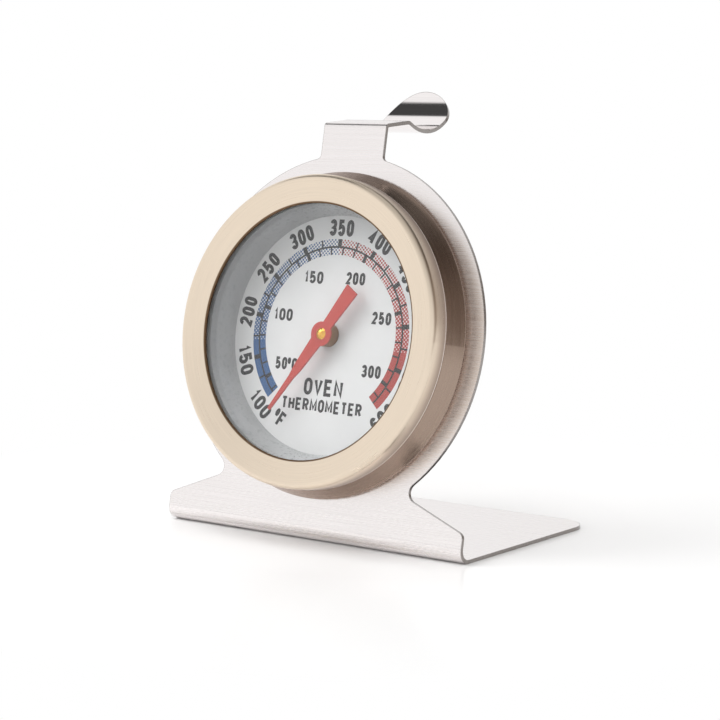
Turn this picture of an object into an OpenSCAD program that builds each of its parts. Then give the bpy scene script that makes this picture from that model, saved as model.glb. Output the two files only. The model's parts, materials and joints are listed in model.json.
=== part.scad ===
// Bimetal dial oven thermometer on a folded sheet stand with a hanging hook.
// Units are millimetres. +X is to the right seen from the front, +Y is to the back, +Z is up.
// The origin is the middle of the foot's underside.

/* [Stand] */
// Thickness of the stand's sheet
sheet = 0.6; // [0.5:0.05:0.8]
// Width of the foot
foot_w = 60; // [58:1:66]
// Depth of the foot from its front corner to its back edge
foot_d = 40; // [36:1:50]
// Radius of the foot's two back corners
foot_corner_r = 5; // [2:0.5:10]
// Outer radius of the bend between the foot and the upright
front_bend_r = 2.2; // [1.6:0.1:2.4]
// Lean of the upright, in degrees back from vertical
lean = 10.8; // [5:0.2:14]
// Radius of the upright's round part
disc_r = 29.75; // [29:0.25:31]
// Height of the round part's centre, measured along the upright
disc_up = 33.95; // [33.5:0.05:36]
// Angle of the foot's sloping shoulders, in degrees
shoulder_slope = 21.4; // [18:0.2:24]
// Height of the shoulder's line where it meets the foot's side, along the upright
shoulder_up = 4.96; // [4.5:0.02:5.4]
// Radius of the shoulder's outer corner
shoulder_corner_r = 1.2; // [0.5:0.1:1.5]
// Radius of the waist fillet between the shoulder and the round part
waist_r = 1.6; // [1:0.1:2]

/* [Hook] */
// Width of the neck and the hook
neck_w = 12.6; // [10:0.2:16]
// Height of the neck's top corner, measured along the upright
neck_up = 68.95; // [67:0.05:72]
// Radius of the fillets between the neck and the round part
neck_fillet_r = 0.8; // [0.4:0.1:1.5]
// Outer radius of the sharp fold at the neck's top
fold_r = 0.8; // [0.8:0.1:1.2]
// Length of the flat arm from the neck's front face to the dip
arm_l = 6; // [5:0.5:9]
// Rise of the flat arm towards the dip, in degrees above level
arm_rise = 3.8; // [0:0.2:8]
// Radius of the bend into the dip
dip_r = 1.4; // [1:0.1:2]
// Slope of the dip, in degrees below level
dip_turn = 31; // [22:0.5:42]
// Radius of the curled end
curl_r = 9.4; // [8.2:0.1:10.5]
// Angle of the curl where its round tip starts, in degrees above level
curl_root_turn = 31.5; // [25:0.5:36]

/* [Case] */
// Radius of the case's side wall at the back
pan_r = 26.8; // [26.7:0.05:27.2]
// Radius of the case's side wall under the bezel's skirt
pan_top_r = 25.35; // [25.3:0.05:25.4]
// Thickness of the case's sheet
pan_t = 0.4; // [0.35:0.05:0.45]
// Radius of the well that reaches back through the stand
well_r = 22.6; // [22.5:0.05:22.7]
// Depth of the well behind the stand's front face
well_d = 5.8; // [5.8:0.1:6.4]
// Radius of the circle that the case's rivets lie on
rivet_circle_r = 24.75; // [24.7:0.05:24.8]
// Radius of a vent hole
vent_r = 1.5; // [1:0.1:1.8]
// Radius of the circle that the vent holes lie on
vent_circle_r = 13.5; // [13.2:0.1:14]

/* [Bezel and glass] */
// Height of the bezel's outer edge above the stand's front face
bezel_h = 7.8; // [7.7:0.05:8.2]
// Radius of the bezel's window
window_r = 20.8; // [20.5:0.05:21]
// Radius where the bezel's face turns into its rounded corner
face_r = 24.6; // [24.4:0.05:24.7]
// Depth of the dish in the bezel's face
face_dish = 0.8; // [0.6:0.05:0.9]
// Outer radius of the bezel's skirt
skirt_r = 25.5; // [25.5:0.05:25.6]
// Thickness of the bezel's sheet
bezel_t = 0.45; // [0.4:0.05:0.5]
// Thickness of the glass
lens_t = 1.8; // [1.5:0.1:2]

/* [Dial and pointer] */
// Outer radius of the dial plate's flange
dial_r = 23.2; // [22.8:0.1:23.3]
// Depth of the dial's printed face behind the stand's front face
dial_depth = 0.4; // [0.2:0.05:0.4]
// Thickness of the dial plate
dial_t = 0.4; // [0.3:0.05:0.4]
// Reach of the pointer's tip from the staff
tip_l = 15.9; // [14:0.1:16.5]
// Length of the pointer's tail
tail_l = 9.2; // [7:0.1:10]
// Direction of the pointer at rest, in degrees clockwise from the top
rest_angle = -145.6; // [-160:0.1:135]
// Radius of the staff
staff_r = 0.75; // [0.7:0.01:0.8]
// Radial clearance of the staff in its bushes
staff_fit = 0.05; // [0.03:0.01:0.08]

/* [Coil] */
// Number of turns in the bimetal coil
coil_turns = 5; // [3:1:6]
// Thickness of the coil's strip
coil_t = 0.35; // [0.25:0.05:0.4]
// Width of the coil's strip
coil_w = 2.2; // [1.8:0.1:2.4]
// Radius of the coil's outer end, to the middle of its strip
coil_r = 10.4; // [9:0.1:10.6]

/* [Hidden] */
$fn = 96;
over = 1;                                    // reach of a cutter past the face it cuts
lap = 0.1;                                   // how far a flat stretch reaches into a bend
bend_sheet = sheet + 0.02;                   // the sheet swells a little where it is bent

// Stand
foot_front = -foot_d / 2;
front_turn = 90 + lean;                      // turn of the front bend
front_setback = front_bend_r * tan(front_turn / 2);   // from the bend's corner to its end
fold_turn = 90 - lean - arm_rise;            // turn of the fold at the neck's top
fold_setback = fold_r * tan(fold_turn / 2);
tip_ease = 0.02;                             // what the tip's radius exceeds half the width by
curl_tip_turn = 2 * asin((neck_w / 2 + tip_ease) / (2 * curl_r)) + 1;   // arc cut to the tip
well_gap = 0.15;                             // gap between the well and the hole in the stand

// Shoulder line: the points p with shoulder_normal * p = shoulder_line
shoulder_normal = [sin(shoulder_slope), cos(shoulder_slope)];
shoulder_along = [cos(shoulder_slope), -sin(shoulder_slope)];
shoulder_line = shoulder_normal * [foot_w / 2, shoulder_up];
corner_x = foot_w / 2 - shoulder_corner_r;
corner_centre = [corner_x, (shoulder_line - shoulder_corner_r - shoulder_normal[0] * corner_x)
                           / shoulder_normal[1]];
disc_centre = [0, disc_up];
waist_reach = disc_r + waist_r;
waist_drop = shoulder_line + waist_r - shoulder_normal * disc_centre;
waist_from_disc = shoulder_normal * waist_drop
                  + shoulder_along * sqrt(waist_reach * waist_reach - waist_drop * waist_drop);
waist_centre = disc_centre + waist_from_disc;
waist_foot = waist_centre - shoulder_normal * waist_r;
waist_top = disc_centre + waist_from_disc * disc_r / waist_reach;

// Neck fillets, tangent to the neck's side and to the round part
neck_fillet_x = neck_w / 2 + neck_fillet_r;
neck_fillet_up = disc_up + sqrt(pow(disc_r + neck_fillet_r, 2) - pow(neck_fillet_x, 2));
neck_touch_x = neck_fillet_x * disc_r / (disc_r + neck_fillet_r);
neck_touch_up = disc_up + (neck_fillet_up - disc_up) * disc_r / (disc_r + neck_fillet_r);

// Case
skirt_end_h = 4.25;                          // height of the bezel's back edge
pan_corner_r = 0.8;
joggle = 0.4;                                // step in the side wall under the bezel's skirt
joggle_h = skirt_end_h - 0.2;
rim_h = 4.9;
rim_r = pan_top_r - joggle;
vent_count = 6;
vent_start = 30;                             // angle of the first vent, clear of the rivets

// Bezel and glass
corner_r = skirt_r - face_r;                 // rounded corner between the face and the skirt
edge_r = 0.15;                               // rounding of the window's edge
lens_r = 24.3;
lens_gap = 0.05;                             // gap between the glass and the bezel
lens_front_h = bezel_h - face_dish - bezel_t - lens_gap;
lens_back_h = lens_front_h - lens_t;

// Dial
dial_front_h = -dial_depth;                  // the dish's face, below its flange
dial_h = dial_front_h - dial_t;
dial_dish_r = 21.6;
dial_hole_r = 1.9;
spacer_foot_r = 19.7;
spacer_top_r = 20.95;
spacer_t = 0.4;
spacer_gap = 0.05;                           // gap between the ring and the dial, and the glass

// Movement, with heights measured from the stand's front face
well_floor_h = -well_d + pan_t;              // inner face of the well's back wall
bore_r = staff_r + staff_fit;
bridge_w = 5;
bridge_t = 0.4;
bridge_top_h = dial_h - 0.5;
bridge_half = 13.6;
bridge_foot_half = 16.8;
bridge_rivet_x = 15.3;
bush_r = 1.6;
bush_lip = 0.4;                              // reach of a bush behind the plate that holds it
rear_flange_r = 2.6;
rear_boss_r = 2;
rear_flange_t = 0.4;
front_flange_r = 2.2;
front_flange_t = 0.35;
collet_r = 1.7;
collet_low_h = well_floor_h + 0.6;
collet_l = 2.5;
anchor_angle = 60;
anchor_t = 0.4;
anchor_w = 2.8;
anchor_foot_l = 3;
anchor_tab_h = 3.2;
anchor_rivet_r = 12.4;
coil_low_h = collet_low_h + 0.2;
coil_inner_r = collet_r + 0.075 + coil_t / 2;
rivet_head_h = 0.3;
small_rivet_r = 0.55;
small_dome_r = 1;
small_dome_h = 0.45;
bridge_head_r = 1;
anchor_head_r = 0.9;
case_rivet_r = 0.9;
case_dome_r = 1.7;
case_dome_h = 0.7;
case_head_r = 1.1;
hub_low_h = dial_front_h - 0.35;
hub_step_h = dial_front_h + 0.2;
pointer_t = 0.3;
pointer_h = dial_front_h + 2.05;
pointer_top_h = pointer_h + pointer_t;
hub_r = 2;
hub_step_r = 1.5;
needle_half = 1.2;                           // half widths of the needle, from the hub outwards
shoulder_half = 0.8;
shoulder_l = 7.2;
waist_half = 0.5;
waist_l = 9;
tip_half = 0.28;
tail_root_half = 0.85;                       // half widths of the tail
tail_half = 1.3;
staff_low_h = -well_d - 1.3;
pin_head_r = 0.95;
pin_head_h = 0.4;
bush_back_h = -well_d - bush_lip;
washer_r = 1.5;
washer_t = 0.15;
washer_gap = 0.05;
rear_washer_h = bush_back_h - washer_gap - washer_t;
clip_r = 1.6;
clip_t = 0.3;
clip_slot = 1;

// Points along an arc, from angle a to angle b
function arc(centre, r, a, b, steps = 6) =
    [for (i = [0:steps]) let (t = a + (b - a) * i / steps) centre + r * [cos(t), sin(t)]];

// Points along a spiral that grows from r_in to r_out and ends at the angle end
function spiral(r_in, r_out, turns, end, steps) =
    [for (i = [0:steps])
        let (f = i / steps, t = end - 360 * turns * (1 - f), r = r_in + (r_out - r_in) * f)
        r * [cos(t), sin(t)]];

function reversed(list) = [for (i = [len(list) - 1:-1:0]) list[i]];

// Puts its children on the leaning upright: x to the right, y up along its front face, and z
// forward out of that face
module on_plate() {
    translate([0, foot_front, 0]) rotate([90 - lean, 0, 0]) children();
}

// The same, with the origin on the dial's axis
module on_axis() {
    on_plate() translate([0, disc_up, 0]) children();
}

// Turns its children about the dial's axis, clockwise from the top as seen from the front
module clockwise(angle) {
    rotate([0, 0, -angle]) children();
}

// A disc or tube on the dial's axis between two heights
module ring(r, low, high, bore = 0) {
    difference() {
        translate([0, 0, low]) cylinder(r = r, h = high - low);
        if (bore > 0) translate([0, 0, low - over]) cylinder(r = bore, h = high - low + 2 * over);
    }
}

// A strip of sheet bent to a mid radius r. It starts at the origin along +y and turns towards +z,
// or towards -z when down is true. The children follow on at its end.
module bend(r, turn, w, down = false) {
    mirror([0, 0, down ? 1 : 0]) {
        translate([0, 0, r]) rotate([0, 90, 0])
            rotate_extrude(angle = turn) translate([r - bend_sheet / 2, -w / 2])
                square([bend_sheet, w]);
        translate([0, r * sin(turn), r * (1 - cos(turn))]) rotate([turn, 0, 0])
            mirror([0, 0, down ? 1 : 0]) children();
    }
}

// A flat strip of sheet along +y, which laps into the bends before and after it, with the
// children at its end
module flat(l, w) {
    translate([-w / 2, -lap, -sheet / 2]) cube([w, l + 2 * lap, sheet]);
    translate([0, l, 0]) children();
}

module foot() {
    back = foot_d / 2;
    front = foot_front + front_setback - lap;
    linear_extrude(sheet) union() {
        translate([-foot_w / 2, front]) square([foot_w, back - foot_corner_r - front]);
        translate([-foot_w / 2 + foot_corner_r, front])
            square([foot_w - 2 * foot_corner_r, back - front]);
        for (side = [-1, 1])
            translate([side * (foot_w / 2 - foot_corner_r), back - foot_corner_r])
                circle(r = foot_corner_r);
    }
}

// One half of the upright's outline below the round part
module shoulder_side() {
    low = front_setback - lap;
    difference() {
        union() {
            polygon([[0, low], [foot_w / 2, low], [foot_w / 2, corner_centre[1]],
                     corner_centre + shoulder_normal * shoulder_corner_r, waist_foot, waist_top,
                     [0, waist_top[1]]]);
            translate(corner_centre) circle(r = shoulder_corner_r);
        }
        translate(waist_centre) circle(r = waist_r);
    }
}

// One half of the neck, with its fillet
module neck_side() {
    top = neck_up - fold_setback + lap;
    difference() {
        polygon([[0, disc_up], [neck_touch_x, neck_touch_up], [neck_w / 2, neck_fillet_up],
                 [neck_w / 2, top], [0, top]]);
        translate([neck_fillet_x, neck_fillet_up]) circle(r = neck_fillet_r);
    }
}

module upright_outline() {
    union() {
        translate(disc_centre) circle(r = disc_r);
        for (side = [0, 1]) mirror([side, 0]) {
            shoulder_side();
            neck_side();
        }
    }
}

// Cuts the corners off the end of the curl, so that its tip is round
module tip_corners() {
    rotate([curl_tip_turn / 2, 0, 0]) difference() {
        translate([-neck_w, 0, -curl_r]) cube([2 * neck_w, neck_w, 2 * curl_r]);
        cylinder(r = neck_w / 2 + tip_ease, h = 3 * curl_r, center = true);
    }
}

// The curl, from the bottom of the dip's slope to the round tip
module curl() {
    root_turn = dip_turn + curl_root_turn;
    difference() {
        bend(curl_r, root_turn + curl_tip_turn, neck_w);
        translate([0, curl_r * sin(root_turn), curl_r * (1 - cos(root_turn))])
            rotate([root_turn, 0, 0]) tip_corners();
    }
}

module hook() {
    bend(fold_r - sheet / 2, fold_turn, neck_w, down = true)
        flat(arm_l - fold_setback, neck_w)
            bend(dip_r, dip_turn + arm_rise, neck_w, down = true)
                curl();
}

module at_case_rivets() {
    for (i = [0:3]) rotate([0, 0, 45 + 90 * i]) translate([rivet_circle_r, 0, 0]) children();
}

// The upright, drawn on from the end of the front bend, with its rear face towards +z
module upright() {
    translate([0, -front_setback, -sheet / 2]) difference() {
        linear_extrude(sheet) upright_outline();
        translate([0, disc_up, -over]) {
            cylinder(r = well_r + well_gap, h = sheet + 2 * over);
            at_case_rivets() cylinder(r = case_rivet_r, h = sheet + 2 * over);
        }
    }
    translate([0, neck_up - fold_setback - front_setback, 0]) mirror([0, 0, 1]) hook();
}

module stand() {
    color("silver") {
        foot();
        translate([0, foot_front + front_setback, sheet / 2]) mirror([0, 1, 0])
            bend(front_bend_r - sheet / 2, front_turn, foot_w) upright();
    }
}

module at_vents() {
    for (i = [0:vent_count - 1])
        rotate([0, 0, vent_start + 360 / vent_count * i]) translate([vent_circle_r, 0, 0]) children();
}

module at_bridge_rivets() {
    for (side = [-1, 1]) translate([side * bridge_rivet_x, 0, 0]) children();
}

module at_anchor_rivet() {
    rotate([0, 0, anchor_angle]) translate([anchor_rivet_r, 0, 0]) children();
}

module case_pan() {
    inner = pan_corner_r - pan_t;
    behind = concat(
        [[0, -well_d]],
        arc([well_r - pan_corner_r, pan_corner_r - well_d], pan_corner_r, -90, 0),
        [[well_r, 0]],
        arc([pan_r - pan_corner_r, pan_corner_r], pan_corner_r, -90, 0),
        [[pan_top_r, joggle_h - joggle / 2], [rim_r, joggle_h], [rim_r, rim_h]]);
    within = concat(
        [[0, well_floor_h]],
        arc([well_r - pan_corner_r, pan_corner_r - well_d], inner, -90, 0),
        [[well_r - pan_t, pan_t]],
        arc([pan_r - pan_corner_r, pan_corner_r], inner, -90, 0),
        [[pan_top_r - pan_t, joggle_h - joggle / 2 - pan_t / 2],
         [rim_r - pan_t, joggle_h - pan_t / 2],
         [rim_r - pan_t, rim_h]]);
    color("dimgray") on_axis() difference() {
        rotate_extrude() polygon(concat(behind, reversed(within)));
        translate([0, 0, -well_d - over]) {
            cylinder(r = bush_r, h = pan_t + 2 * over);
            at_vents() cylinder(r = vent_r, h = pan_t + 2 * over);
            at_bridge_rivets() cylinder(r = small_rivet_r, h = pan_t + 2 * over);
            at_anchor_rivet() cylinder(r = small_rivet_r, h = pan_t + 2 * over);
        }
        at_case_rivets() translate([0, 0, -over]) cylinder(r = case_rivet_r, h = pan_t + 2 * over);
    }
}

// A rivet through the plates between low and high, with a dome behind and a flat head in front
module rivet(shank_r, dome_r, dome_h, head_r, low, high) {
    dome_sphere_r = (dome_r * dome_r + dome_h * dome_h) / (2 * dome_h);
    ring(shank_r, low, high);
    ring(head_r, high, high + rivet_head_h);
    intersection() {
        translate([0, 0, low - dome_h + dome_sphere_r]) sphere(r = dome_sphere_r);
        ring(dome_r + over, low - dome_h - over, low);
    }
}

module case_rivets() {
    color("gainsboro") on_axis() at_case_rivets()
        rivet(case_rivet_r, case_dome_r, case_dome_h, case_head_r, -sheet, pan_t);
}

module bridge_rivets() {
    color("gainsboro") on_axis() at_bridge_rivets()
        rivet(small_rivet_r, small_dome_r, small_dome_h, bridge_head_r, -well_d,
              well_floor_h + bridge_t);
}

module anchor_rivet() {
    color("gainsboro") on_axis() at_anchor_rivet()
        rivet(small_rivet_r, small_dome_r, small_dome_h, anchor_head_r, -well_d,
              well_floor_h + anchor_t);
}

module movement_bridge() {
    low = well_floor_h;
    color("darkgray") on_axis() difference() {
        translate([0, bridge_w / 2, 0]) rotate([90, 0, 0]) linear_extrude(bridge_w)
            polygon([[-bridge_foot_half, low], [-bridge_half + bridge_t, low],
                     [-bridge_half + bridge_t, bridge_top_h - bridge_t],
                     [bridge_half - bridge_t, bridge_top_h - bridge_t],
                     [bridge_half - bridge_t, low], [bridge_foot_half, low],
                     [bridge_foot_half, low + bridge_t], [bridge_half, low + bridge_t],
                     [bridge_half, bridge_top_h], [-bridge_half, bridge_top_h],
                     [-bridge_half, low + bridge_t], [-bridge_foot_half, low + bridge_t]]);
        translate([0, 0, bridge_top_h - bridge_t - over])
            cylinder(r = bush_r, h = bridge_t + 2 * over);
        translate([0, 0, low - over]) at_bridge_rivets()
            cylinder(r = small_rivet_r, h = bridge_t + 2 * over);
    }
}

module rear_bush() {
    color("goldenrod") on_axis() {
        difference() {
            union() {
                ring(bush_r, -well_d, well_floor_h);
                ring(rear_flange_r, well_floor_h, well_floor_h + rear_flange_t);
                ring(rear_boss_r, bush_back_h, -well_d);
            }
            ring(bore_r, bush_back_h - over, well_floor_h + rear_flange_t + over);
        }
    }
}

module front_bush() {
    low = bridge_top_h - bridge_t - bush_lip;
    high = bridge_top_h + front_flange_t;
    color("goldenrod") on_axis() {
        difference() {
            union() {
                ring(bush_r, low, bridge_top_h);
                ring(front_flange_r, bridge_top_h, high);
            }
            ring(bore_r, low - over, high + over);
        }
    }
}

module staff() {
    sphere_r = (pin_head_r * pin_head_r + pin_head_h * pin_head_h) / (2 * pin_head_h);
    color("gold") on_axis() {
        ring(staff_r, staff_low_h, pointer_top_h);
        intersection() {
            translate([0, 0, pointer_top_h + pin_head_h - sphere_r]) sphere(r = sphere_r);
            ring(pin_head_r + over, pointer_top_h, pointer_top_h + pin_head_h + over);
        }
    }
}

module coil_collet() {
    color("goldenrod") on_axis()
        ring(collet_r, collet_low_h, collet_low_h + collet_l, bore = staff_r);
}

module bimetal_coil() {
    steps = 20 * coil_turns;
    half = coil_t / 2;
    color("peru") on_axis() translate([0, 0, coil_low_h]) linear_extrude(coil_w)
        polygon(concat(
            spiral(coil_inner_r + half, coil_r + half, coil_turns, anchor_angle, steps),
            reversed(spiral(coil_inner_r - half, coil_r - half, coil_turns, anchor_angle, steps))));
}

module coil_anchor() {
    tab_x = coil_r + coil_t / 2;
    color("darkgray") on_axis() rotate([0, 0, anchor_angle]) difference() {
        union() {
            translate([tab_x, -anchor_w / 2, well_floor_h]) {
                cube([anchor_foot_l, anchor_w, anchor_t]);
                cube([anchor_t, anchor_w, anchor_tab_h]);
            }
        }
        translate([anchor_rivet_r, 0, well_floor_h - over])
            cylinder(r = small_rivet_r, h = anchor_t + 2 * over);
    }
}

module rear_washer() {
    color("silver") on_axis()
        ring(washer_r, rear_washer_h, rear_washer_h + washer_t, bore = staff_r);
}

module front_washer() {
    color("silver") on_axis() ring(washer_r, hub_low_h - washer_t, hub_low_h, bore = staff_r);
}

module staff_clip() {
    low = rear_washer_h - clip_t;
    color("darkgray") on_axis() difference() {
        ring(clip_r, low, rear_washer_h, bore = staff_r);
        translate([0, -clip_slot / 2, low - over])
            cube([clip_r + over, clip_slot, clip_t + 2 * over]);
    }
}

module pointer_hub() {
    color("sienna") on_axis() difference() {
        union() {
            ring(hub_step_r, hub_low_h, hub_step_h);
            ring(hub_r, hub_step_h, pointer_h);
        }
        ring(staff_r, hub_low_h - over, pointer_h + over);
    }
}

module pointer() {
    left = [[-tail_half, -tail_l], [-tail_root_half, 0], [-needle_half, 0],
            [-shoulder_half, shoulder_l], [-waist_half, waist_l], [-tip_half, tip_l]];
    color("indianred") on_axis() clockwise(rest_angle) difference() {
        union() {
            ring(hub_r, pointer_h, pointer_top_h);
            translate([0, 0, pointer_h]) linear_extrude(pointer_t)
                polygon(concat(left, [for (p = reversed(left)) [-p[0], p[1]]]));
        }
        ring(staff_r, pointer_h - over, pointer_top_h + over);
    }
}

module dial_plate() {
    wall_r = dial_dish_r + dial_t;
    color("white") on_axis() rotate_extrude()
        polygon([[dial_hole_r, dial_h], [wall_r, dial_h], [wall_r, pan_t], [dial_r, pan_t],
                 [dial_r, pan_t + dial_t], [dial_dish_r, pan_t + dial_t],
                 [dial_dish_r, dial_front_h], [dial_hole_r, dial_front_h]]);
}

module spacer_ring() {
    low = dial_front_h + spacer_gap;
    high = lens_back_h - spacer_gap;
    color("lightgray") on_axis() rotate_extrude()
        polygon([[spacer_foot_r, low], [spacer_foot_r + spacer_t, low],
                 [spacer_top_r + spacer_t, high - spacer_t], [lens_r, high - spacer_t],
                 [lens_r, high], [spacer_top_r, high]]);
}

module lens() {
    color("azure", 0.35) on_axis() ring(lens_r, lens_back_h, lens_front_h);
}

module bezel() {
    inner_h = bezel_h - face_dish;
    corner = [face_r, bezel_h - corner_r];
    outside = concat(
        arc([window_r + edge_r, inner_h - edge_r], edge_r, 180, 90, 4),
        arc(corner, corner_r, 90, 0, 8),
        [[skirt_r, skirt_end_h]]);
    inside = concat(
        [[window_r, inner_h - bezel_t]],
        arc(corner, corner_r - bezel_t, 90, 0, 8),
        [[skirt_r - bezel_t, skirt_end_h]]);
    color("tan") on_axis() rotate_extrude() polygon(concat(outside, reversed(inside)));
}

stand();
case_pan();
case_rivets();
movement_bridge();
bridge_rivets();
rear_bush();
front_bush();
staff();
coil_collet();
bimetal_coil();
coil_anchor();
anchor_rivet();
rear_washer();
front_washer();
staff_clip();
pointer_hub();
pointer();
dial_plate();
spacer_ring();
lens();
bezel();
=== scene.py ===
"""Looks of the oven thermometer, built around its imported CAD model. Lengths are in metres."""
import json
import math

import bmesh
import bpy
from mathutils import Matrix, Vector


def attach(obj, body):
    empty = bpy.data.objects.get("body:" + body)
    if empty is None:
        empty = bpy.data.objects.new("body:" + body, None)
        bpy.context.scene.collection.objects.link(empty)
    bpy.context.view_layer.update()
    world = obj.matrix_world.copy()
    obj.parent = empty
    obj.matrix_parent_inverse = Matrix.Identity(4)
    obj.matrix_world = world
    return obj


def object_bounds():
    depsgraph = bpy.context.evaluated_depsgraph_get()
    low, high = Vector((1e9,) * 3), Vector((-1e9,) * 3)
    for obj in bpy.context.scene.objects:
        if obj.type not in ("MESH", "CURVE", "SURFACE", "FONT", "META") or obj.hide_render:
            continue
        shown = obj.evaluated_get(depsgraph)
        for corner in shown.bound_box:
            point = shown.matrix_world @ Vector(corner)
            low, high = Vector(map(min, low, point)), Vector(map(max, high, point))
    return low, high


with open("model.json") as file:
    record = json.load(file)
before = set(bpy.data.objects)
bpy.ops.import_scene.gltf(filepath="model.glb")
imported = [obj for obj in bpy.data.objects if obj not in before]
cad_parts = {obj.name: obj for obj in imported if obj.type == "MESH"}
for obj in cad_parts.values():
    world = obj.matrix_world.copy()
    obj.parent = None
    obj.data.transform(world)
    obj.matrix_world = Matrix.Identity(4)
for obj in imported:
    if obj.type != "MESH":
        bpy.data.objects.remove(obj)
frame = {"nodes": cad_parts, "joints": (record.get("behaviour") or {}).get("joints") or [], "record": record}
cad_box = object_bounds()
MM = 0.001

# ---------------------------------------------------------------- the dial's own frame
hinge = frame["joints"][0]
AXIS_POINT = Vector(hinge["pos_m"])
DIAL_OUT = -Vector(hinge["axis"]).normalized()       # out of the dial, towards the reader
DIAL_RIGHT = Vector((1, 0, 0))
DIAL_UP = DIAL_OUT.cross(DIAL_RIGHT)
LEAN = math.atan2(DIAL_UP.y, DIAL_UP.z)
ON_DIAL = Matrix((DIAL_RIGHT, DIAL_UP, DIAL_OUT)).transposed().to_4x4()
ON_DIAL.translation = AXIS_POINT


def dial_points(node):
    """The node's points in millimetres in the dial's frame: right, up and out of the dial."""
    into = ON_DIAL.inverted()
    return [into @ v.co / MM for v in frame["nodes"][node].data.vertices]


def top_near_axis(node, reach):
    """The highest level along the dial's axis, in millimetres, of a node's points near it."""
    return max(p.z for p in dial_points(node) if math.hypot(p.x, p.y) < reach)


DIAL_MIDDLE = 10                     # millimetres from the axis, well inside the dial
DIAL_FACE = top_near_axis("dial_plate", DIAL_MIDDLE)

# ---------------------------------------------------------------- camera
CAMERA_AZIMUTH = math.radians(36.48)
CAMERA_ELEVATION = math.radians(7.25)
CAMERA_ROLL = math.radians(0.3)
CAMERA_DISTANCE = 0.3626
CAMERA_LENS = 110.56                 # millimetres, like the sensor's width
CAMERA_SENSOR = 36
CAMERA_REACH = (0.01, 20)            # the nearest and farthest distances it sees
AIM = Vector((0.0034, -0.0101, 0.0292))   # from the middle of the foot's underside


def add_camera():
    """The camera, in front of the dial, to its right and a little above it."""
    data = bpy.data.cameras.new("camera")
    data.sensor_width = CAMERA_SENSOR
    data.lens = CAMERA_LENS
    data.clip_start, data.clip_end = CAMERA_REACH
    camera = bpy.data.objects.new("camera", data)
    bpy.context.scene.collection.objects.link(camera)
    back = Vector((
        math.sin(CAMERA_AZIMUTH) * math.cos(CAMERA_ELEVATION),
        -math.cos(CAMERA_AZIMUTH) * math.cos(CAMERA_ELEVATION),
        math.sin(CAMERA_ELEVATION),
    ))
    turn = (-back).to_track_quat("-Z", "Y").to_matrix() @ Matrix.Rotation(CAMERA_ROLL, 3, "Z")
    camera.matrix_world = Matrix.Translation(AIM + back * CAMERA_DISTANCE) @ turn.to_4x4()
    bpy.context.scene.camera = camera


add_camera()


# ---------------------------------------------------------------- node helpers
EDGE_SAMPLES = 6
EDGE_LIKENESS = (0.985, 0.86)        # rounded to flat normal, where an edge starts and is full


class Tree:
    """A short way to write a node tree."""

    def __init__(self, tree):
        self.tree = tree
        tree.nodes.clear()

    def link(self, a, b):
        self.tree.links.new(a, b)

    def new(self, kind, inputs=(), **settings):
        """Adds a node. inputs holds sockets or plain values, in the order of the node's inputs."""
        node = self.tree.nodes.new(kind)
        for key, value in settings.items():
            setattr(node, key, value)
        for i, value in enumerate(inputs):
            if isinstance(value, bpy.types.NodeSocket):
                self.link(value, node.inputs[i])
            elif value is not None:
                node.inputs[i].default_value = value
        return node

    def math(self, operation, *values, clamp=False):
        node = self.new("ShaderNodeMath", values, operation=operation, use_clamp=clamp)
        return node.outputs[0]

    def product(self, *values):
        """The product of several values."""
        total = values[0]
        for value in values[1:]:
            total = self.math("MULTIPLY", total, value)
        return total

    def length(self, x, y):
        """The length of a flat vector."""
        squares = self.math("ADD", self.math("POWER", x, 2.0), self.math("POWER", y, 2.0))
        return self.math("SQRT", squares)

    def near_edges(self, reach):
        """1 on the sharp edges of a piece, falling to 0 within a reach."""
        smooth = self.new("ShaderNodeBevel", [reach], samples=EDGE_SAMPLES).outputs[0]
        flat = self.new("ShaderNodeNewGeometry").outputs["Normal"]
        same = self.new("ShaderNodeVectorMath", [smooth, flat], operation="DOT_PRODUCT")
        return self.span(same.outputs["Value"], *EDGE_LIKENESS)

    def mix(self, factor, a, b):
        """Mixes two colours."""
        node = self.tree.nodes.new("ShaderNodeMix")
        node.data_type = "RGBA"
        for socket, value in ((node.inputs[0], factor), (node.inputs[6], a), (node.inputs[7], b)):
            if isinstance(value, bpy.types.NodeSocket):
                self.link(value, socket)
            else:
                socket.default_value = value
        return node.outputs[2]

    def place(self):
        """The point in the object's own frame."""
        return self.new("ShaderNodeTexCoord").outputs["Object"]

    def stretch(self, vector, scale, rotation=(0, 0, 0)):
        node = self.new("ShaderNodeMapping", [vector])
        node.inputs["Rotation"].default_value = rotation
        node.inputs["Scale"].default_value = scale
        return node.outputs[0]

    def noise(self, vector, scale, detail=2.0, roughness=0.5):
        node = self.new("ShaderNodeTexNoise", [vector])
        node.inputs["Scale"].default_value = scale
        node.inputs["Detail"].default_value = detail
        node.inputs["Roughness"].default_value = roughness
        return node.outputs[0]

    def span(self, value, from_low, from_high, to_low=0.0, to_high=1.0):
        """Maps a value from one range to another, held at both ends."""
        node = self.new("ShaderNodeMapRange", [value, from_low, from_high, to_low, to_high])
        return node.outputs[0]


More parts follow.
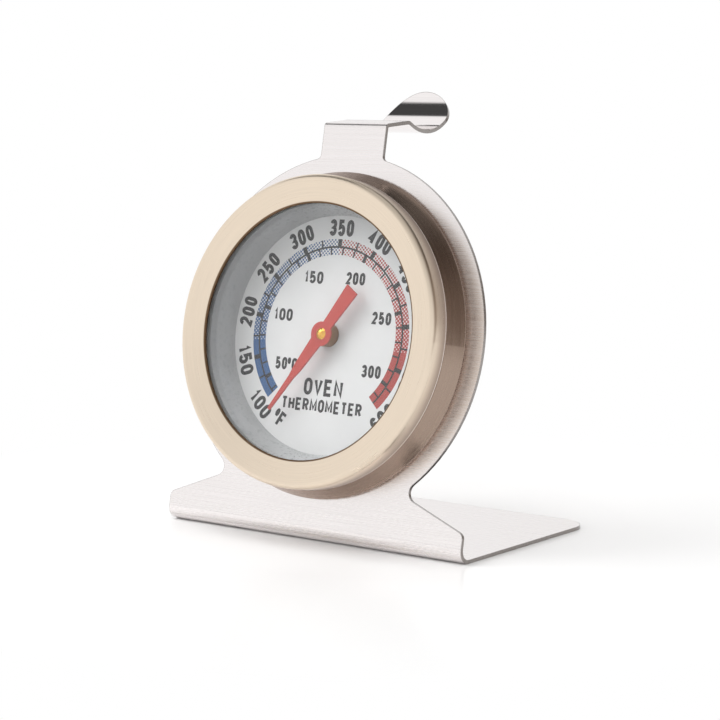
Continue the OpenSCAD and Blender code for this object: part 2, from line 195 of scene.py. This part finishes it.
class Surface(Tree):
    """A material with one main shader."""

    def __init__(self, name):
        self.material = bpy.data.materials.new(name)
        self.material.use_nodes = True
        super().__init__(self.material.node_tree)
        self.out = self.new("ShaderNodeOutputMaterial")
        self.shader = self.new("ShaderNodeBsdfPrincipled")
        self.link(self.shader.outputs[0], self.out.inputs["Surface"])

    def set(self, **values):
        """Sets the shader's own sockets, such as Metallic=1."""
        for name, value in values.items():
            self.shader.inputs[name.replace("_", " ")].default_value = value

    def bump(self, height, distance):
        node = self.new("ShaderNodeBump")
        node.inputs["Strength"].default_value = 1.0
        node.inputs["Distance"].default_value = distance
        self.link(height, node.inputs["Height"])
        self.link(node.outputs[0], self.shader.inputs["Normal"])

    def feed(self, name, socket):
        self.link(socket, self.shader.inputs[name])

    def around_dial(self, grain, drift):
        """A point that changes fast across a ring about the dial's axis and slowly along it.

        The radius and the level along the axis are given with it, in metres.
        """
        local = self.new("ShaderNodeVectorMath", [self.place(), AXIS_POINT], operation="SUBTRACT")
        local = self.stretch(local.outputs[0], (1, 1, 1), (-(math.pi / 2 - LEAN), 0, 0))
        x, y, z = self.new("ShaderNodeSeparateXYZ", [local]).outputs
        r = self.length(x, y)
        cos = self.math("MULTIPLY", self.math("DIVIDE", x, r), drift)
        sin = self.math("MULTIPLY", self.math("DIVIDE", y, r), drift)
        across = self.math("MULTIPLY", self.math("ADD", r, z), grain)
        return self.new("ShaderNodeCombineXYZ", [cos, sin, across]).outputs[0], r, z


def rgb(r, g, b):
    """A colour given as it looks on a screen, 0 to 255, as linear light."""
    def linear(c):
        c = c / 255
        return c / 12.92 if c <= 0.04045 else ((c + 0.055) / 1.055) ** 2.4
    return (linear(r), linear(g), linear(b), 1.0)


def shade(colour, by):
    return (colour[0] * by, colour[1] * by, colour[2] * by, 1.0)


# ---------------------------------------------------------------- materials
# Noise values at the two ends of a pattern
FAINT, EVEN, CRISP = (0.25, 0.75), (0.3, 0.7), (0.35, 0.65)
FINE_NOISE = {"detail": 3.0, "roughness": 0.6}
LINE_SHADE, CLOUD_SHADE = 0.94, 1.03  # tones of the brushed lines and of the faint clouds
METAL_CLOUDS = 90.0                  # scale of those clouds
RELIEF = 0.000003                    # depth of brushed lines and of the grain of paint

STAND_LINES = (60, 5200, 5200)       # the brushing runs along the foot's width
CURL_LOW = cad_box[1].z - 0.0105     # the polished curl is above this level
CURL_FRONT = 0.0                     # and behind this, past the flat arm
CURL_FADE = (0.001, 0.0015)          # distances below and in front of it over which that starts
CURL_SHINE = 0.2                     # how much less rough the curl is
FOOT_FRONT = -0.02
BEND_SHADE_TOP = 0.0016                    # painted shade darkens the front bend below this height
BEND_SHADE_FULL = 0.00032                  # and fully below this one
BEND_SHADE_DEPTH = (0.0009, 0.0003)        # distances behind the foot's front where it starts and is full
SIDE_FACING = (0.3, 0.4)             # sideways part of a normal where a cut side starts and is full
RIM_FACING = (0.3, 0.2)              # forward part of a normal where a cut rim starts and is full
RIM_LOW, RIM_HIGH = (0.0028, 0.003), (0.066, 0.0655)   # levels between which the rim is cut sheet
CUT_WIDTH = 0.00022

WINDOW_R = min(math.hypot(p.x, p.y) for p in dial_points("bezel")) * MM
BEZEL_TOP = max(p.z for p in dial_points("bezel")) * MM
SKIRT_END = min(p.z for p in dial_points("bezel")) * MM
EDGE_LINE = (0.00033, 0.00022)       # dark line at the window's edge: where it ends and is full
SKIRT_SHADE = (0.0012, 0.003)        # depths below the face where the skirt's painted shade starts, is full
# Painted highlight, a bright line at the skirt's back edge: where it ends and is full
SEAM_HIGHLIGHT = (0.00018, 0.00009)
BEZEL_GRAIN, BEZEL_DRIFT = 5200, 2.2
PAN_GRAIN, PAN_DRIFT, PAN_RELIEF = 3600, 1.6, 0.000004

SMALL_GRAIN = (2600.0, 2600.0, 780.0)
PAINT_GRAIN, PAINT_CLOUDS, PAINT_SHADE, PAINT_SPREAD = 1800.0, 160.0, 0.96, 0.05
GLASS_SMEARS, SMEAR_RANGE, SMEAR_ROUGHNESS = 220.0, (0.5, 0.9), 0.035

DOT_PITCH = 0.46                     # millimetres between the halftone's dots
DOT_ROWS = 45.0                      # direction of their rows, in degrees
DOT_EDGE = 0.02                      # softness of a dot's edge, as a share of the pitch
SOLID_FROM = 97.0                    # degrees from the top beyond which the bands are solid
SOLID_EDGE = 0.1                     # degrees over which they turn solid
FAINTEST = 0.36                      # share of ink at the top of the scale
FULLEST = 0.86                       # share of ink where the solid print starts
PRINT_CLOUDS, PRINT_SHADE, PRINT_ROUGHNESS = 900.0, 0.9, (0.36, 0.48)


def brushed(nodes, colour, lines, roughness, spread, depth=RELIEF):
    """Adds the look of brushed metal: fine lines in the colour, the roughness and the relief.

    The colour and the roughness are given back for a material that changes them further.
    """
    fine = nodes.noise(lines, 1.0, **FINE_NOISE)
    cloud = nodes.noise(nodes.place(), METAL_CLOUDS, detail=3.0)
    clouded = nodes.mix(cloud, colour, shade(colour, CLOUD_SHADE))
    look = nodes.mix(nodes.span(fine, *EVEN), shade(colour, LINE_SHADE), clouded)
    rough = nodes.span(fine, *FAINT, roughness - spread, roughness + spread)
    nodes.feed("Base Color", look)
    nodes.feed("Roughness", rough)
    nodes.bump(fine, depth)
    nodes.set(Metallic=1.0)
    return look, rough


def stand_material():
    """Stainless sheet with a polished curl, painted shade where the front bend turns under, and dark cut
    edges.
    """
    n = Surface("stand_steel")
    lines = n.stretch(n.place(), STAND_LINES)
    look, satin = brushed(n, rgb(244, 239, 238), lines, 0.27, 0.05)
    _, y, z = n.new("ShaderNodeSeparateXYZ", [n.place()]).outputs
    high = n.span(z, CURL_LOW - CURL_FADE[0], CURL_LOW)
    curl = n.math("MULTIPLY", high, n.span(y, CURL_FRONT - CURL_FADE[1], CURL_FRONT))
    shine = n.math("MULTIPLY", curl, CURL_SHINE)
    n.feed("Roughness", n.math("SUBTRACT", satin, shine, clamp=True))
    # Painted shade: the foot's front darkens towards the floor, where the bend turns under.
    under = n.span(z, BEND_SHADE_TOP, BEND_SHADE_FULL)
    front = n.span(y, FOOT_FRONT + BEND_SHADE_DEPTH[0], FOOT_FRONT + BEND_SHADE_DEPTH[1])
    look = n.mix(n.math("MULTIPLY", under, front), look, rgb(150, 132, 120))
    normal = n.new("ShaderNodeNewGeometry").outputs["True Normal"]
    side = n.new("ShaderNodeSeparateXYZ", [normal]).outputs["X"]
    side = n.span(n.math("ABSOLUTE", side), *SIDE_FACING)
    facing = n.new("ShaderNodeVectorMath", [normal, DIAL_OUT], operation="DOT_PRODUCT")
    rim = n.span(n.math("ABSOLUTE", facing.outputs["Value"]), *RIM_FACING)
    rim = n.product(rim, n.span(z, *RIM_LOW), n.span(z, *RIM_HIGH))
    cut = n.math("MAXIMUM", n.math("MAXIMUM", side, rim), n.near_edges(CUT_WIDTH))
    n.feed("Base Color", n.mix(cut, look, rgb(158, 153, 150)))
    return n.material


def bezel_material():
    """Satin stainless with a warm straw tint, turned about the dial's axis, with painted shade down the
    skirt and a painted highlight along its back edge.
    """
    n = Surface("bezel_steel")
    lines, r, z = n.around_dial(BEZEL_GRAIN, BEZEL_DRIFT)
    steel, _ = brushed(n, rgb(236, 220, 200), lines, 0.3, 0.04)
    edge = n.span(r, *(WINDOW_R + reach for reach in EDGE_LINE))
    # Painted shade down the skirt, darker with depth below the face, which also gives the skirt a greyer
    # steel tone.
    shaded_skirt = n.span(z, *(BEZEL_TOP - depth for depth in SKIRT_SHADE))
    steel = n.mix(edge, steel, rgb(112, 88, 66))
    steel = n.mix(shaded_skirt, steel, rgb(178, 161, 147))
    # Painted highlight: a bright line along the skirt's back edge, at the seam.
    seam_highlight = n.span(z, *(SKIRT_END + reach for reach in SEAM_HIGHLIGHT))
    n.feed("Base Color", n.mix(seam_highlight, steel, rgb(252, 246, 240)))
    return n.material


def pan_material():
    """Darker stainless, browned by heat, turned about the dial's axis."""
    n = Surface("case_steel")
    lines, _, _ = n.around_dial(PAN_GRAIN, PAN_DRIFT)
    brushed(n, rgb(168, 148, 134), lines, 0.26, 0.05, PAN_RELIEF)
    return n.material


def plain_metal(name, colour, roughness=0.35):
    """Small turned or stamped parts."""
    n = Surface(name)
    brushed(n, colour, n.stretch(n.place(), SMALL_GRAIN), roughness, 0.06)
    return n.material


def painted(name, colour, roughness):
    """Paint or enamel, with a faint orange peel and uneven gloss."""
    n = Surface(name)
    peel = n.noise(n.place(), PAINT_GRAIN, detail=2.0)
    cloud = n.noise(n.place(), PAINT_CLOUDS, detail=4.0)
    n.feed("Base Color", n.mix(n.span(cloud, *CRISP), shade(colour, PAINT_SHADE), colour))
    n.feed("Roughness", n.span(peel, *EVEN, roughness - PAINT_SPREAD, roughness + PAINT_SPREAD))
    n.bump(peel, RELIEF)
    return n.material


def glass_material():
    """Clear flat glass. Light from the lamps passes straight through it."""
    n = Surface("lens_glass")
    n.set(Base_Color=(1, 1, 1, 1), Transmission_Weight=1.0, IOR=1.45)
    smear = n.noise(n.place(), GLASS_SMEARS, detail=4.0)
    n.feed("Roughness", n.span(smear, *SMEAR_RANGE, 0.0, SMEAR_ROUGHNESS))
    clear = n.new("ShaderNodeBsdfTransparent")
    path = n.new("ShaderNodeLightPath")
    both = n.new("ShaderNodeMixShader")
    n.link(path.outputs["Is Shadow Ray"], both.inputs[0])
    n.link(n.shader.outputs[0], both.inputs[1])
    n.link(clear.outputs[0], both.inputs[2])
    n.link(both.outputs[0], n.out.inputs["Surface"])
    return n.material


def halftone_material(name, ink, paper):
    """A printed band whose dots grow with the angle from the top, until the ink is solid."""
    n = Surface(name)
    flat = n.new("ShaderNodeUVMap", uv_map="dial_mm").outputs[0]
    x, y, _ = n.new("ShaderNodeSeparateXYZ", [flat]).outputs
    angle = n.math("ABSOLUTE", n.math("ARCTAN2", x, y))
    ink_share = n.span(angle, 0.0, math.radians(SOLID_FROM), FAINTEST, FULLEST)
    reach = n.math("SQRT", n.math("DIVIDE", ink_share, math.pi))
    cell = n.stretch(flat, (1 / DOT_PITCH, 1 / DOT_PITCH, 1), (0, 0, math.radians(DOT_ROWS)))
    u, v, _ = n.new("ShaderNodeSeparateXYZ", [cell]).outputs
    u = n.math("SUBTRACT", n.math("FRACT", u), 0.5)
    v = n.math("SUBTRACT", n.math("FRACT", v), 0.5)
    dot = n.span(n.math("SUBTRACT", n.length(u, v), reach), DOT_EDGE, -DOT_EDGE)
    solid = n.span(angle, math.radians(SOLID_FROM - SOLID_EDGE),
                   math.radians(SOLID_FROM + SOLID_EDGE))
    cover = n.math("MAXIMUM", dot, solid)
    cloud = n.noise(n.place(), PRINT_CLOUDS, detail=3.0)
    inked = n.mix(n.span(cloud, *EVEN), shade(ink, PRINT_SHADE), ink)
    n.feed("Base Color", n.mix(cover, paper, inked))
    n.feed("Roughness", n.span(cloud, *EVEN, *PRINT_ROUGHNESS))
    return n.material


WHITE = rgb(226, 227, 227)
MATERIALS = {
    "stand_steel": stand_material(),
    "case_steel": pan_material(),
    "bezel_steel": bezel_material(),
    "rivet_steel": plain_metal("rivet_steel", rgb(214, 212, 210)),
    "movement_steel": plain_metal("movement_steel", rgb(190, 188, 186), 0.4),
    "bimetal": plain_metal("bimetal", rgb(190, 165, 138), 0.38),
    "bush_brass": plain_metal("bush_brass", rgb(205, 170, 110)),
    "staff_brass": plain_metal("staff_brass", rgb(236, 182, 84), 0.28),
    "hub_brass": plain_metal("hub_brass", rgb(150, 116, 84), 0.36),
    "pointer_red": painted("pointer_red", rgb(184, 66, 58), 0.42),
    "dial_white": painted("dial_white", WHITE, 0.4),
    "print_black": painted("print_black", rgb(34, 33, 35), 0.45),
    "print_cold": halftone_material("print_cold", rgb(50, 92, 142), WHITE),
    "print_hot": halftone_material("print_hot", rgb(172, 66, 60), WHITE),
    "spacer_grey": painted("spacer_grey", rgb(170, 172, 173), 0.3),
    "lens_glass": glass_material(),
}


def dress_cad_nodes():
    """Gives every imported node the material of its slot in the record."""
    for part in frame["record"]["subparts"]:
        node = frame["nodes"][part["node"]]
        node.data.materials.clear()
        node.data.materials.append(MATERIALS[part["material_slot"]])


dress_cad_nodes()


# ---------------------------------------------------------------- printing on the dial
INK = 0.02                           # thickness of the black print, in millimetres
BAND_INK = 0.01                      # thickness of the coloured bands under it
SINK = 0.01                          # depth that a print starts below the dial's face
PRINT_LOW = DIAL_FACE - SINK
PRINT_TOP = DIAL_FACE + INK
BAND_IN, BAND_MID, BAND_OUT = 13.2, 14.5, 15.8
ARC_STEP = 1.5                       # degrees between the points of an arc
SWEEP = 135.0                        # the scale's ends, in degrees from the top
F_FIRST, F_LAST = 100, 600           # the scale's ends, in degrees Fahrenheit
C_FIRST, C_LAST = 40, 310            # the first and last ticks in degrees Celsius
F_STEP, C_STEP, BOLD_STEP = 25, 10, 50
F_THICK, F_THIN = 0.75, 0.3          # widths of the ticks, in millimetres
C_THICK, C_THIN = 0.62, 0.28
MID_LINE = 0.3
MITRE_LIMIT = 0.62                   # the smaller, the further a stroke's sharp corner may reach

F_LABEL_R = 17.65
F_HEIGHT, F_WIDTH, F_STROKE, F_GAP = 2.75, 4.9, 0.6, 0.3
C_HEIGHT, C_WIDTH, C_STROKE, C_GAP = 2.05, 3.8, 0.45, 0.26
C_LABEL_R = {100: 10.3, 150: 10.3, 200: 10.3, 250: 10.6, 300: 10.6}
SIGN_F_R, SIGN_F_ANGLE, SIGN_F_TURN = 16.7, -150, 30
SIGN_F_WIDTH, SIGN_F_STROKE, SIGN_C_WIDTH, SIGN_GAP = 2.5, F_STROKE * 0.85, 2.1, 0.2
FIFTY_PLACE, FIFTY_WIDTH, SIGN_C_PLACE = (-9.2, -5.3), 2.4, (-6.9, -5.3)
WORDS = (                            # place, height, width, stroke and gap of each word
    ("OVEN", (0, -8.65), 2.8, 7.9, 0.56, 0.34),
    ("THERMOMETER", (0, -11.7), 2.1, 16.4, 0.42, 0.24),
)


def angle_f(degrees_f):
    """The angle from the top of a temperature on the scale."""
    return (degrees_f - (F_FIRST + F_LAST) / 2) * 2 * SWEEP / (F_LAST - F_FIRST)


def angle_c(degrees_c):
    return angle_f(degrees_c * 9 / 5 + 32)


def polar(r, angle):
    """A place on the dial at an angle in degrees clockwise from the top."""
    return r * math.sin(math.radians(angle)), r * math.cos(math.radians(angle))


def slab(bm, outline, low, high):
    """A closed flat solid over an outline on the dial, between two levels."""
    bottom = [bm.verts.new((x, y, low)) for x, y in outline]
    top = [bm.verts.new((x, y, high)) for x, y in outline]
    bm.faces.new(top)
    bm.faces.new(bottom[::-1])
    for i in range(len(outline)):
        j = (i + 1) % len(outline)
        bm.faces.new((bottom[i], bottom[j], top[j], top[i]))


def bar(bm, rows):
    """A closed bar through rows of four points each, as strips of quads with capped ends."""
    for one, two in zip(rows, rows[1:]):
        for k in range(4):
            m = (k + 1) % 4
            bm.faces.new((one[k], one[m], two[m], two[k]))
    bm.faces.new(rows[0][::-1])
    bm.faces.new(rows[-1])


def sector(bm, r_in, r_out, start, end, high):
    """A print between two radii and two angles, up to a level, closed all round."""
    count = max(1, math.ceil(abs(end - start) / ARC_STEP))
    rows = []
    for i in range(count + 1):
        a = start + (end - start) * i / count
        rows.append([bm.verts.new((*polar(r, a), z)) for r, z in (
            (r_in, PRINT_LOW), (r_out, PRINT_LOW), (r_out, high), (r_in, high))])
    bar(bm, rows)


def bow(x, y, rx, ry, start, end, steps=10):
    """Points along part of an ellipse, from one angle to another, in degrees."""
    turns = [math.radians(start + (end - start) * i / steps) for i in range(steps + 1)]
    return [(x + rx * math.cos(t), y + ry * math.sin(t)) for t in turns]


OVAL = bow(0.5, 0.68, 0.5, 0.32, 0, 180) + bow(0.5, 0.32, 0.5, 0.32, 180, 360)
# Each character is a list of strokes in a box one wide and one high. A stroke whose last point is
# its first one is closed.
STROKES = {
    "0": [OVAL + OVAL[:1]],
    "1": [[(0.12, 0.74), (0.62, 1), (0.62, 0)]],
    "2": [bow(0.5, 0.7, 0.5, 0.3, 170, -30) + [(0, 0), (1, 0)]],
    "3": [bow(0.48, 0.755, 0.46, 0.245, 165, -90) + bow(0.5, 0.265, 0.5, 0.265, 80, -165)],
    "4": [[(0.72, 0), (0.72, 1), (0, 0.28), (1, 0.28)]],
    "5": [[(0.92, 1), (0.1, 1), (0.04, 0.5)] + bow(0.48, 0.31, 0.52, 0.31, 140, -160)],
    "6": [bow(0.5, 0.7, 0.5, 0.3, 25, 180) + bow(0.5, 0.3, 0.5, 0.3, 180, 520, 16)],
    "C": [bow(0.5, 0.68, 0.5, 0.32, 10, 180) + bow(0.5, 0.32, 0.5, 0.32, 180, 350)],
    "E": [[(1, 1), (0, 1), (0, 0), (1, 0)], [(0, 0.5), (0.85, 0.5)]],
    "F": [[(0, 0), (0, 1), (1, 1)], [(0, 0.5), (0.85, 0.5)]],
    "H": [[(0, 0), (0, 1)], [(1, 0), (1, 1)], [(0, 0.5), (1, 0.5)]],
    "M": [[(0, 0), (0, 1), (0.5, 0.2), (1, 1), (1, 0)]],
    "N": [[(0, 0), (0, 1), (1, 0), (1, 1)]],
    "O": [OVAL + OVAL[:1]],
    "R": [[(0, 0), (0, 1), (0.5, 1)] + bow(0.5, 0.74, 0.5, 0.26, 80, -80)
          + [(0.5, 0.48), (0, 0.48)], [(0.5, 0.48), (1, 0)]],
    "T": [[(0, 1), (1, 1)], [(0.5, 1), (0.5, 0)]],
    "V": [[(0, 1), (0.5, 0.05), (1, 1)]],
    "\u00b0": [bow(0.5, 0.8, 0.42, 0.2, 0, 360)],
}
WIDE = {"1": 0.6, "M": 1.2, "\u00b0": 0.62}     # characters that aren't one unit wide


def both_sides(path, half):
    """The points on either side of a stroke, at half its width, with its corners mitred."""
    closed = (Vector(path[0]) - Vector(path[-1])).length < 1e-6
    points = [Vector(p) for p in path]
    sides = ([], [])
    for i, p in enumerate(points):
        before = points[i - 1] if i else (points[-2] if closed else None)
        after = points[i + 1] if i + 1 < len(points) else (points[1] if closed else None)
        ways = [(b - a).normalized() for a, b in ((before, p), (p, after)) if a and b]
        normals = [Vector((-w.y, w.x)) for w in ways]
        mitre = sum(normals, Vector((0, 0))).normalized()
        reach = half / max(mitre.dot(normals[0]), MITRE_LIMIT)
        sides[0].append(tuple(p + mitre * reach))
        sides[1].append(tuple(p - mitre * reach))
    return sides


def stroke_slab(bm, path, width, place):
    """One printed stroke as a closed bar between its two sides."""
    left, right = both_sides(path, width / 2)
    bar(bm, [[bm.verts.new((*place(p), z)) for p, z in (
        (a, PRINT_LOW), (b, PRINT_LOW), (b, PRINT_TOP), (a, PRINT_TOP))]
        for a, b in zip(left, right)])


def stamp(bm, text, centre, height, width, stroke, gap, turn=0.0):
    """Prints a word at a place on the dial, turned clockwise, at a given height and width."""
    spaces = gap * (len(text) - 1)
    unit = (width - spaces) / sum(WIDE.get(c, 1) for c in text)
    spin = math.radians(turn)

    def place(p):
        x, y = p[0] - width / 2, p[1] - height / 2
        return (centre[0] + x * math.cos(spin) + y * math.sin(spin),
                centre[1] - x * math.sin(spin) + y * math.cos(spin))

    at = 0.0
    for c in text:
        wide = unit * WIDE.get(c, 1)
        for path in STROKES[c]:
            points = [(at + stroke / 2 + x * (wide - stroke), stroke / 2 + y * (height - stroke))
                      for x, y in path]
            stroke_slab(bm, points, stroke, place)
        at += wide + gap


def printed(name, slot, draw):
    """Makes a printed piece: draw adds its solids in millimetres on the dial."""
    bm = bmesh.new()
    draw(bm)
    bmesh.ops.recalc_face_normals(bm, faces=bm.faces)
    flat = bm.loops.layers.uv.new("dial_mm")
    for face in bm.faces:
        for loop in face.loops:
            loop[flat].uv = loop.vert.co.xy
    bm.transform(ON_DIAL @ Matrix.Scale(MM, 4))
    mesh = bpy.data.meshes.new(name)
    bm.to_mesh(mesh)
    bm.free()
    mesh.materials.append(MATERIALS[slot])
    piece = bpy.data.objects.new(name, mesh)
    bpy.context.scene.collection.objects.link(piece)
    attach(piece, "frame")


def tick(bm, angle, r_in, r_out, width):
    """A straight tick along a radius."""
    half = width / 2
    turn = math.radians(angle)
    right = Vector((math.cos(turn), -math.sin(turn)))
    out = Vector((math.sin(turn), math.cos(turn)))
    slab(bm, [tuple(out * r_in - right * half), tuple(out * r_in + right * half),
              tuple(out * r_out + right * half), tuple(out * r_out - right * half)],
         PRINT_LOW, PRINT_TOP)


def draw_ticks(bm):
    for f in range(F_FIRST + F_STEP, F_LAST, F_STEP):
        tick(bm, angle_f(f), BAND_MID, BAND_OUT, F_THIN if f % BOLD_STEP else F_THICK)
    for c in range(C_FIRST, C_LAST + 1, C_STEP):
        tick(bm, angle_c(c), BAND_IN, BAND_MID, C_THIN if c % BOLD_STEP else C_THICK)
    sector(bm, BAND_MID - MID_LINE / 2, BAND_MID + MID_LINE / 2, -SWEEP, SWEEP, PRINT_TOP)


def draw_fahrenheit(bm):
    for f in range(F_FIRST, F_LAST + 1, BOLD_STEP):
        angle = angle_f(f)
        flip = 180 if abs(angle) > 90 else 0
        stamp(bm, str(f), polar(F_LABEL_R, angle), F_HEIGHT, F_WIDTH, F_STROKE, F_GAP, angle + flip)
    stamp(bm, "\u00b0F", polar(SIGN_F_R, SIGN_F_ANGLE), F_HEIGHT, SIGN_F_WIDTH, SIGN_F_STROKE,
          SIGN_GAP, SIGN_F_TURN)


def draw_celsius(bm):
    for c, r in C_LABEL_R.items():
        stamp(bm, str(c), polar(r, angle_c(c)), C_HEIGHT, C_WIDTH, C_STROKE, C_GAP)
    stamp(bm, "50", FIFTY_PLACE, C_HEIGHT, FIFTY_WIDTH, C_STROKE, C_GAP)
    stamp(bm, "\u00b0C", SIGN_C_PLACE, C_HEIGHT, SIGN_C_WIDTH, C_STROKE, SIGN_GAP)


def draw_words(bm):
    for word in WORDS:
        stamp(bm, *word)


printed("band_cold", "print_cold", lambda bm: sector(
    bm, BAND_IN, BAND_OUT, -SWEEP, 0, DIAL_FACE + BAND_INK))
printed("band_hot", "print_hot", lambda bm: sector(
    bm, BAND_IN, BAND_OUT, 0, SWEEP, DIAL_FACE + BAND_INK))
printed("scale_ticks", "print_black", draw_ticks)
printed("fahrenheit_numerals", "print_black", draw_fahrenheit)
printed("celsius_numerals", "print_black", draw_celsius)
printed("dial_words", "print_black", draw_words)


# ---------------------------------------------------------------- floor and light
FLOOR_TONE = (0.96, 0.96, 0.96, 1)
FLOOR_GLOSS, FLOOR_GLOSS_ROUGHNESS = 0.22, 0.2
FLOOR_REACH = 4
FLOOR_DROP = 0.00002                 # depth below the foot, so that the two never share a plane
FLOOR_FADE = (0.042, 0.1)            # distances between which the floor turns plain white
# Azimuth, elevation, distance, size and light of each lamp
LAMPS = {
    "key": (-48, 42, 0.55, 0.26, 0.34),
    "top": (20, 78, 0.7, 0.5, 0.5),
    "back": (160, 50, 0.8, 0.3, 0.12),
}
OVERHEAD, OVERHEAD_LIGHT = (14.0, 45.0), 0.6   # elevations over which the light falls to a share
LEFT_LIGHT = (-0.3, -0.5)            # x over which it is full again at every elevation
# Regions of the studio, each inside all of its spans. In a direction x is to the right, y away
# behind the object and z up, and height is the elevation in degrees.
BEHIND = (("y", 0.25, 0.5), ("x", -0.5, -0.3), ("height", 28.0, 40.0), ("height", 72.0, 60.0))
LEFT = (("x", -0.3, -0.4), ("z", 0.6, 0.66), ("y", -0.4, -0.33), ("y", 0.17, 0.1))
WARM = (("x", 0.05, 0.5), ("y", -0.45, 0.1))
FLAG_LIGHT = 0.06                    # share of the light that a flag leaves
WARM_TINT = (0.3, 0.25, 0.22, 1)


def add_floor():
    """A pale table top with a slight, even gloss."""
    n = Surface("floor")
    n.set(Base_Color=FLOOR_TONE, Roughness=0.9, Specular_IOR_Level=0.0)
    gloss = n.new("ShaderNodeBsdfAnisotropic")
    gloss.inputs["Roughness"].default_value = FLOOR_GLOSS_ROUGHNESS
    near = n.new("ShaderNodeMixShader", [FLOOR_GLOSS, n.shader.outputs[0], gloss.outputs[0]])
    white = n.new("ShaderNodeEmission", [(1, 1, 1, 1), 1.0])
    away = n.new("ShaderNodeVectorMath", [n.place()], operation="LENGTH").outputs["Value"]
    faded = n.new("ShaderNodeMixShader",
                  [n.span(away, *FLOOR_FADE), near.outputs[0], white.outputs[0]])
    n.link(faded.outputs[0], n.out.inputs["Surface"])
    bm = bmesh.new()
    bmesh.ops.create_grid(bm, x_segments=1, y_segments=1, size=FLOOR_REACH)
    mesh = bpy.data.meshes.new("floor")
    bm.to_mesh(mesh)
    bm.free()
    mesh.materials.append(n.material)
    floor = bpy.data.objects.new("floor", mesh)
    floor.location.z = cad_box[0].z - FLOOR_DROP
    bpy.context.scene.collection.objects.link(floor)


def add_lamp(name, azimuth, elevation, distance, size, light):
    """A soft square lamp that looks at the object. Azimuth 0 is in front, 90 to the right.

    light is what falls on a surface that faces the lamp, where 1 makes a white surface white.
    """
    data = bpy.data.lights.new(name, "AREA")
    data.size = size
    data.energy = light * math.pi ** 2 * distance ** 2
    lamp = bpy.data.objects.new(name, data)
    a, e = math.radians(azimuth), math.radians(elevation)
    way = Vector((math.sin(a) * math.cos(e), -math.cos(a) * math.cos(e), math.sin(e)))
    middle = (cad_box[0] + cad_box[1]) / 2
    lamp.location = middle + way * distance
    lamp.visible_glossy = False
    lamp.rotation_mode = "QUATERNION"
    lamp.rotation_quaternion = way.to_track_quat("Z", "Y")
    bpy.context.scene.collection.objects.link(lamp)


def add_world():
    """A white studio, with dark flags behind and to the left. The camera sees plain white."""
    world = bpy.data.worlds.new("studio")
    world.use_nodes = True
    w = Tree(world.node_tree)
    x, y, z = w.new("ShaderNodeSeparateXYZ",
                    [w.new("ShaderNodeTexCoord").outputs["Generated"]]).outputs
    height = w.math("DEGREES", w.math("ARCSINE", z))
    ways = {"x": x, "y": y, "z": z, "height": height}

    def region(spans):
        """1 in the directions that are inside every span."""
        return w.product(*(w.span(ways[way], low, high) for way, low, high in spans))

    open_light = w.span(height, *OVERHEAD, 1.0, OVERHEAD_LIGHT)
    open_light = w.math("MAXIMUM", open_light, w.span(x, *LEFT_LIGHT))
    flags = w.math("MAXIMUM", region(BEHIND), region(LEFT))
    level = w.math("MULTIPLY", open_light, w.span(flags, 0.0, 1.0, 1.0, FLAG_LIGHT))
    tint = w.mix(region(WARM), (1, 1, 1, 1), WARM_TINT)
    lit = w.new("ShaderNodeBackground", [tint, level])
    seen = w.new("ShaderNodeBackground", [(1, 1, 1, 1), 1.0])
    path = w.new("ShaderNodeLightPath")
    both = w.new("ShaderNodeMixShader",
                 [path.outputs["Is Camera Ray"], lit.outputs[0], seen.outputs[0]])
    out = w.new("ShaderNodeOutputWorld")
    w.link(both.outputs[0], out.inputs[0])
    bpy.context.scene.world = world


add_floor()
add_world()
for lamp_name, lamp_values in LAMPS.items():
    add_lamp(lamp_name, *lamp_values)
bpy.context.scene.view_settings.view_transform = "Standard"
